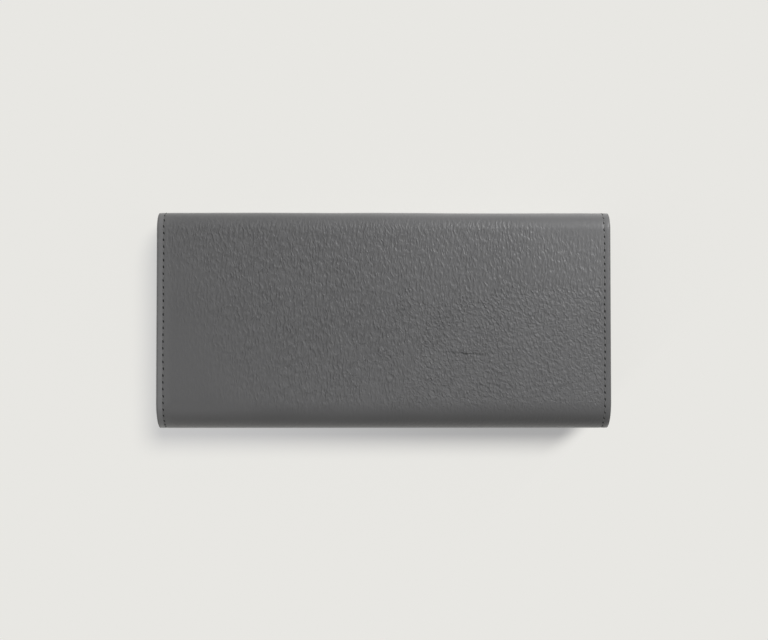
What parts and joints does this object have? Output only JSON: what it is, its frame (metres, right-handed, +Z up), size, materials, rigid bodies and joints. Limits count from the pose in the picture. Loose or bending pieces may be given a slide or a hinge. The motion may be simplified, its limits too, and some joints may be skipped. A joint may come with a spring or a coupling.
{
  "type": "continental wallet",
  "caption": "Long grained-leather wallet whose flap rolls over both long edges, with card slots, note rooms, side gussets, a zipped coin pocket and a press stud.",
  "frame": {"origin": "on the resting surface, under the middle of the closed wallet", "axes": "+X along the long side to the right of the picture, +Y to the folded top edge, +Z up out of the flap"},
  "size_m": [0.196, 0.094, 0.026],
  "materials": {
    "leather": "charcoal grey pebbled grain, satin",
    "lining": "smooth thin lining leather, matt",
    "board": "pressed fibre stiffener board",
    "tape": "woven zip tape",
    "metal": "dark nickel plate, polished"
  },
  "bodies": {
    "body": {"back_panel": "leather", "back_board": "board", "back_lining": "lining", "left_gusset": "lining", "right_gusset": "lining"},
    "spine": {"spine_panel": "leather", "spine_lining": "lining"},
    "flap": {"flap_panel": "leather", "flap_board": "board", "flap_lining": "lining", "snap_socket": "metal", "snap_socket_rivet": "metal"},
    "front": {"front_panel": "leather", "front_lining": "lining", "card_slot_1": "leather", "card_slot_2": "leather", "card_slot_3": "leather", "snap_stud": "metal", "snap_stud_eyelet": "metal"},
    "coin_pocket": {"coin_pocket_rear": "lining", "coin_pocket_front": "lining", "coin_pocket_band": "lining", "coin_pocket_welt": "lining", "zip_tape_rear": "tape", "zip_tape_front": "tape", "zip_teeth_rear": "metal", "zip_teeth_front": "metal", "zip_stop_closed": "metal", "zip_stop_open": "metal"},
    "slider": {"zip_slider": "metal"},
    "puller": {"zip_puller": "metal"}
  },
  "joints": [
    {"name": "spine_fold", "type": "hinge", "parent": "body", "child": "spine", "pos_m": [0, 0.04473, 0.00227], "axis": [-1, 0, 0], "range_deg": [0, 90]},
    {"name": "flap_fold", "type": "hinge", "parent": "spine", "child": "flap", "pos_m": [0, 0.04473, 0.02373], "axis": [-1, 0, 0], "range_deg": [0, 90]},
    {"name": "front_fan", "type": "hinge", "parent": "body", "child": "front", "pos_m": [0, -0.0435, 0.00965], "axis": [1, 0, 0], "range_deg": [0, 18], "deforming": ["left_gusset", "right_gusset"]},
    {"name": "coin_pocket_fan", "type": "hinge", "parent": "body", "child": "coin_pocket", "pos_m": [0, -0.0403, 0.0101], "axis": [1, 0, 0], "range_deg": [0, 9]},
    {"name": "zip_slide", "type": "slide", "parent": "coin_pocket", "child": "slider", "axis": [1, 0, 0], "range_m": [0, 0.127], "deforming": ["zip_teeth_rear", "zip_teeth_front"]},
    {"name": "puller_swing", "type": "hinge", "parent": "slider", "child": "puller", "pos_m": [-0.0695, 0.0393, 0.0101], "axis": [0, 1, 0], "range_deg": [-18, 18]}
  ],
  "couplings": [
    {"joint": "spine_fold", "follows": "flap_fold", "ratio": 1},
    {"joint": "front_fan", "follows": "flap_fold", "ratio": 0.2},
    {"joint": "coin_pocket_fan", "follows": "flap_fold", "ratio": 0.1}
  ]
}
